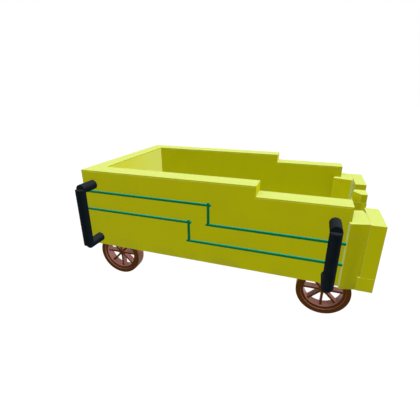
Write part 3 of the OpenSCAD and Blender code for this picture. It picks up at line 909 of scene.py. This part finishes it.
@dataclass
class Wheel:
    """One spoked wheel. Distances along the axle count from the tyre's outer face inwards.

    Attributes:
        cart: nodes and materials.
        end: end of the cart.
        side: side of the cart.
        tyre_t: thickness of the tyre.
        tyre_sag: how much lower the tread is at its edges than in the middle.
        ring_t: thickness of the ring under the tyre.
        ring_setback: depth at which the ring starts.
        spoke_setback: depth at which the spokes and the hub start.
        spoke_depth: width of a spoke along the axle.
        spoke_t: thickness of a spoke.
        spoke_ease: rounding of a spoke's edges.
        spoke_fillet: reach of the fillets at a spoke's ends.
        spokes: number of spokes.
        hub_r: radius of the hub.
        hub_proud: how far the hub stands out behind the tyre.
        bush_r: outer radius of the bush, and so of the cap.
        cap_t: thickness of the cap's flange.
        cap_lip: width of the flange in view.
        cap_proud: height of the cap's raised middle.
        into: how far a spoke's ends reach into hub and ring.
    """

    cart: Cart
    end: End
    side: Side
    tyre_t: float = 0.027
    tyre_sag: float = 0.0006
    ring_t: float = 0.0155
    ring_setback: float = 0.008
    spoke_setback: float = 0.022
    spoke_depth: float = 0.040
    spoke_t: float = 0.012
    spoke_ease: float = 0.0008
    spoke_fillet: float = 0.006
    spokes: int = 8
    hub_r: float = 0.023
    hub_proud: float = 0.005
    bush_r: float = 0.017
    cap_t: float = 0.005
    cap_lip: float = 0.003
    cap_proud: float = 0.002
    into: float = 0.001

    def __post_init__(self) -> None:
        """Reads the wheel's place from its tyre."""
        self.name = f"{self.end.value}_{self.side.word}"
        low, high = (np.array(c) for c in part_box(f"{self.name}_tyre"))
        self.centre = (low + high) / 2
        self.centre[1] = low[1] if self.side is Side.RIGHT else high[1]
        self.radius, self.width = (high[2] - low[2]) / 2, high[1] - low[1]
        self.inward = (0.0, -float(self.side.value), 0.0)

    def build(self) -> None:
        """Makes and dresses the wheel's pieces."""
        for word, surface, slot, node in (
            ("tyre_band", self.tyre(), Slot.TYRE, "tyre"),
            ("spoked_centre", self.spoked_centre(), Slot.WHEEL, "wheel_centre"),
            ("hub_button", self.hub_button(), Slot.WHEEL, "hub_cap"),
        ):
            piece = piece_from(f"{self.name}_{word}", surface)
            self.cart.stand_for(piece, slot, f"{self.name}_wheel", f"{self.name}_{node}")
        self.cart.dress_node(f"{self.name}_bush", Slot.BRONZE)

    def ring(self, outline: list[list[float]], rim: float, segments: int = 96) -> Surface:
        """A closed ring: an eased outline carried round the axle.

        Args:
            outline: corners as (depth, radius).
            rim: size of the rounding.
            segments: points round the ring.

        Returns:
            The closed ring.
        """
        profile = eased(np.array(outline), rim, 3)
        return carried(turned_rows(profile, tuple(self.centre), self.inward, segments), closed=True)

    def tyre(self) -> Surface:
        """A plain band with rounded shoulders and a hair's crown."""
        r, inner, w, edge = self.radius, self.radius - self.tyre_t, self.width, self.radius - self.tyre_sag
        outline = [[0, inner], [0, edge], [w / 2, r], [w, edge], [w, inner]]
        return self.ring(outline, 0.0028)

    def spoked_centre(self) -> Surface:
        """Ring, hub and spoke plates, each closed, with the spokes' ends inside the ring and the hub."""
        outer, front, back = self.radius - self.tyre_t, self.ring_setback, self.width
        inner = outer - self.ring_t
        rim = [[front, outer], [back, outer], [back, inner], [front, inner]]
        front, back = self.spoke_setback, self.width + self.hub_proud
        hub = [[front, self.bush_r], [back, self.bush_r], [back, self.hub_r], [front, self.hub_r]]
        spoke = self.spoke(self.hub_r - self.into, inner + self.into)
        turns = [spoke.turned(self.centre, TAU * k / self.spokes) for k in range(self.spokes)]
        return joined([self.ring(rim, 0.002), self.ring(hub, 0.0015, 48), *turns])

    def spoke(self, start: float, end: float) -> Surface:
        """One upright spoke plate.

        Row i lies at radius p_i. Its section is an eased rectangle, whose thickness is multiplied by
        1 + 0.35 (exp(-a / f) + exp(-b / f)), with a and b the distances to the hub and to the ring and
        f the reach of the fillets.

        Args:
            start: radius at the hub.
            end: radius at the ring.

        Returns:
            The closed plate.
        """
        t, d = self.spoke_t / 2, self.spoke_depth / 2
        section = eased(np.array([[-t, -d], [t, -d], [t, d], [-t, d]]), self.spoke_ease, 3)
        share = np.linspace(0.0, 1.0, 25)
        p = start + (end - start) * (1 - np.cos(math.pi * share)) / 2
        flare = 1 + 0.35 * (np.exp((start - p) / self.spoke_fillet) + np.exp((p - end) / self.spoke_fillet))
        middle = self.spoke_setback + d
        rows = np.zeros((len(p), len(section), 3))
        rows[:, :, 0] = self.centre[0] + flare[:, None] * section[:, 0]
        rows[:, :, 1] = self.centre[1] + self.inward[1] * (middle + section[:, 1])
        rows[:, :, 2] = self.centre[2] + p[:, None]
        return carried(rows)

    def hub_button(self) -> Surface:
        """A cap in the hub's mouth: a flat disc with a low raised middle."""
        r, core, face = self.bush_r, 0.3 * self.bush_r, self.spoke_setback
        back, front, step = face + self.cap_t, face - self.cap_proud, r - self.cap_lip
        line = [[back, core], [back, r], [face, r], [face, step], [front, step - 0.001], [front, core]]
        profile = eased(np.array(line), 0.0008, 3, loop=False)
        return carried(turned_rows(profile, tuple(self.centre), self.inward, 40))


@dataclass
class GrabHandle:
    """One grab handle: a bar that ends on the axes of its two stubs.

    Attributes:
        cart: nodes and materials.
        end: end of the cart.
        side: side of the cart.
        radius: radius of the bar and of the stubs.
        rim: rounding of their ends.
        sunk: how far the stubs reach into the wall.
        segments: points round a bar.
    """

    cart: Cart
    end: End
    side: Side
    radius: float = 0.030
    rim: float = 0.0022
    sunk: float = 0.001
    segments: int = 56

    def build(self) -> None:
        """Makes and dresses the handle, in the place of its node."""
        node = f"{self.end.value}_{self.side.word}_handle"
        low, high = (np.array(c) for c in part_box(node))
        r, sign = self.radius, self.side.value
        x = float(low[0] + high[0]) / 2
        outer, wall = (low[1], high[1]) if self.side is Side.RIGHT else (high[1], low[1])
        y, bottom, top = float(outer) - sign * r, float(low[2]) + r, float(high[2]) - r
        parts = [rod((x, y, bottom), (0, 0, 1), top - bottom, r, self.rim, self.segments)]
        reach = abs(float(wall) - y) + self.sunk
        parts += [rod((x, y, z), (0, -sign, 0), reach, r, self.rim, self.segments) for z in (bottom, top)]
        piece = piece_from(f"{node}_moulding", joined(parts))
        self.cart.stand_for(piece, Slot.GRIP, "tub", node)


@dataclass
class PipeRun:
    """The two lines of pipe on one side: each a rear run, a riser and a front run that cross.

    Attributes:
        cart: nodes and materials.
        side: side of the cart.
        rear_face: x of the tub's rear face, from which places along the cart count.
        ground_gap: height of the tub's lower edge, from which heights count.
        start: where the rear runs start.
        radius: outer radius.
        wall: wall thickness.
        bore: depth to which the rear bore is shown.
        overrun: how far each run passes the axis of its riser.
        segments: points round a pipe.
        lines: riser's place, rear height and front height of each line.
    """

    cart: Cart
    side: Side
    rear_face: float
    ground_gap: float = 0.213
    start: float = 0.006
    radius: float = 0.00825
    wall: float = 0.002
    bore: float = 0.02
    overrun: float = 0.015
    segments: int = 24
    lines: tuple[Triple, ...] = ((0.856, 0.378, 0.258), (0.734, 0.257, 0.137))

    def build(self) -> None:
        """Makes and dresses both lines in the place of their node."""
        node = f"{self.side.word}_pipes"
        low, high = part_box(node)
        y = (low[1] + high[1]) / 2
        first, last = self.rear_face + self.start, float(high[0])
        r, past, cap, foot = self.radius, self.overrun, 0.45 * self.radius, 0.5 * self.radius
        parts = []
        for riser, rear_z, front_z in self.lines:
            x, z1, z2 = self.rear_face + riser, self.ground_gap + front_z, self.ground_gap + rear_z
            parts += [
                tube((first, y, z2), (1, 0, 0), x + past - first, r, self.wall, self.bore, self.segments),
                rod((x, y, z1 - foot), (0, 0, 1), z2 - z1 + past + foot, r, cap, self.segments),
                rod((x - past, y, z1), (1, 0, 0), last - x + past, r, cap, self.segments),
            ]
        self.cart.stand_for(piece_from(f"{node}_line", joined(parts)), Slot.PIPE, "tub", node)


@dataclass
class Tub:
    """Plates of the tub and the underframe: eased copies of the frame's own nodes.

    Attributes:
        cart: nodes and materials.
        plate_ease: rounding of the painted plates' edges.
        frame_ease: rounding of the underframe's edges.
        weld: leg length of the welds between posts and blocks.
        weld_gap: how far below the post's top a weld ends.
    """

    cart: Cart
    plate_ease: float = 0.0012
    frame_ease: float = 0.002
    weld: float = 0.016
    weld_gap: float = 0.001

    SIDED = ("outer_skin", "inner_skin", "cap_rail", "sole_bar", "post", "buffer_block")
    SINGLE = (
        "rear_outer_plate", "rear_inner_plate", "rear_cap_rail", "rear_draw_plate", "floor_plate",
        "front_sill_plate", "cross_members", "front_beam", "coupler_head", "coupler_pocket",
    )
    FASTENERS = (
        "pedestal_bolts", "axle_keeper_bolts", "axle_washers", "axle_circlips", "handle_screws", "pipe_studs",
    )

    def slot_of(self, node: str) -> Slot:
        """Finds a plate's slot.

        Args:
            node: name of the plate.

        Returns:
            Its slot in the record.
        """
        if "cap_rail" in node:
            return Slot.PAINT_TOP
        if "inner" in node or node == "floor_plate":
            return Slot.PAINT_WORN
        if any(word in node for word in ("sole", "cross", "draw", "pedestal")):
            return Slot.UNDERFRAME
        return Slot.PAINT

    def build(self) -> None:
        """Makes the eased plates and the welds, and dresses the nodes that stay."""
        plates = [f"{side.word}_{part}" for side in Side for part in self.SIDED] + list(self.SINGLE)
        plates += [f"{end.value}_{side.word}_pedestal" for end in End for side in Side]
        for node in plates:
            slot = self.slot_of(node)
            width = self.frame_ease if slot is Slot.UNDERFRAME else self.plate_ease
            self.cart.stand_for(eased_copy(node, self.cart.nodes, width), slot, "tub", node)
        for side in Side:
            self.cart.dress_node(f"{side.word}_wall_ribs", Slot.PRIMER)
            self.corner_weld(side)
        self.cart.dress_node("rear_wall_ribs", Slot.PRIMER)
        self.cart.dress_node("axle_collars", Slot.UNDERFRAME)
        for end in End:
            self.cart.dress_node(f"{end.value}_axle", Slot.AXLE)
        for node in self.FASTENERS:
            self.cart.dress_node(node, Slot.FASTENER)

    def corner_weld(self, side: Side) -> None:
        """Welds a post to the back of its buffer block, down the corner that faces the centre line.

        Args:
            side: side of the cart.
        """
        block_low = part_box(f"{side.word}_buffer_block")[0]
        post_low, post_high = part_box(f"{side.word}_post")
        x = float(block_low[0])
        y = float(post_high[1] if side is Side.RIGHT else post_low[1])
        foot, top = (x, y, float(block_low[2])), (x, y, float(post_high[2]) - self.weld_gap)
        bead = weld_bead(foot, top, (-1.0, 0.0, 0.0), (0.0, -float(side.value), 0.0), self.weld)
        piece = piece_from(f"{side.word}_post_weld", bead)
        dressed(piece, self.cart.variants["post_weld"], "tub")
        log.info("%s: %d faces, trim", piece.name, len(piece.data.polygons))


@dataclass
class Studio:
    """Pale floor, soft lights, white surround and the camera.

    Attributes:
        camera_place: place of the camera.
        camera_turn_deg: its turn about x, y and z.
        lens_mm: focal length.
        sensor_mm: width of the sensor.
        surround: strength of the surround as a light.
        floor_glow: glow of the floor, which keeps its shadows faint.
        floor_grey: how much of other light the floor gives back.
        floor_half: half the floor's side.
        floor_z: height of the floor, a hair under the wheels.
        light_far: distance at which the lights stand.
    """

    camera_place: Triple = (0.4989, -2.0036, 1.1845)
    camera_turn_deg: Triple = (68.498, 0.0, 18.864)
    lens_mm: float = 25.71
    sensor_mm: float = 36.0
    surround: float = 0.2
    floor_glow: float = 0.86
    floor_grey: float = 0.09
    floor_half: float = 30.0
    floor_z: float = -0.0005
    light_far: float = 4.0

    def build(self) -> None:
        """Sets up the whole studio."""
        self.camera()
        self.floor()
        self.world()
        self.light("key", (1.5, 0.5, 1.3), 25.0)
        self.light("fill", (-0.661, -0.596, 0.62), 70.0)
        bpy.context.scene.view_settings.view_transform = "Standard"

    def camera(self) -> None:
        """Makes the camera."""
        data = bpy.data.cameras.new("camera")
        data.lens, data.sensor_width = self.lens_mm, self.sensor_mm
        obj = bpy.data.objects.new("camera", data)
        obj.location = self.camera_place
        obj.rotation_euler = [math.radians(a) for a in self.camera_turn_deg]
        bpy.context.scene.collection.objects.link(obj)
        bpy.context.scene.camera = obj

    def floor(self) -> None:
        """Makes the floor."""
        half, z = self.floor_half, self.floor_z
        points = [(-half, -half, z), (half, -half, z), (half, half, z), (-half, half, z)]
        mesh = bpy.data.meshes.new("floor")
        mesh.from_pydata(points, [], [[0, 1, 2, 3]])
        obj = bpy.data.objects.new("floor", mesh)
        bpy.context.scene.collection.objects.link(obj)
        sheet = NodeSheet("pale floor")
        sheet.fixed(Roughness=0.9, Specular_IOR_Level=0.0, Emission_Strength=self.floor_glow)
        sheet.shader.inputs["Base Color"].default_value = (*[self.floor_grey] * 3, 1.0)
        sheet.shader.inputs["Emission Color"].default_value = (1.0, 1.0, 1.0, 1.0)
        mesh.materials.append(sheet.material)

    def world(self) -> None:
        """White surround: full white behind the cart, and softer as a light."""
        world = bpy.data.worlds.new("surround")
        bpy.context.scene.world = world
        world.use_nodes = True
        nodes, links = world.node_tree.nodes, world.node_tree.links
        path, strength = nodes.new("ShaderNodeLightPath"), nodes.new("ShaderNodeMapRange")
        strength.inputs["To Min"].default_value = self.surround
        strength.inputs["To Max"].default_value = 1.0
        links.new(path.outputs["Is Camera Ray"], strength.inputs["Value"])
        links.new(strength.outputs["Result"], nodes["Background"].inputs["Strength"])
        nodes["Background"].inputs["Color"].default_value = (1.0, 1.0, 1.0, 1.0)

    def light(self, name: str, towards: Triple, softness_deg: float) -> None:
        """Makes a broad, far light. Only the surround and the floor shade the cart's corners.

        Args:
            name: name of the light.
            towards: vector from the cart to the light. Its length times pi is the light's strength,
                so a white surface square to it shows its length.
            softness_deg: angle that the light spans, which softens its highlights.
        """
        aim = Vector(towards)
        data = bpy.data.lights.new(name, "SUN")
        data.energy, data.angle = aim.length * math.pi, math.radians(softness_deg)
        data.use_shadow = False
        obj = bpy.data.objects.new(name, data)
        obj.rotation_euler = aim.to_track_quat("Z", "Y").to_euler()
        obj.location = aim.normalized() * self.light_far
        bpy.context.scene.collection.objects.link(obj)


def main() -> None:
    """Builds the cart around the frame."""
    logging.basicConfig(level=logging.INFO, format="%(name)s: %(message)s")
    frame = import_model()
    Studio().build()
    cart = Cart(frame["nodes"])
    Tub(cart).build()
    for end in End:
        for side in Side:
            Wheel(cart, end, side).build()
            GrabHandle(cart, end, side).build()
    rear_face = float(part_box("rear_outer_plate")[0][0])
    for side in Side:
        PipeRun(cart, side, rear_face).build()


if __name__ == "__main__":
    main()
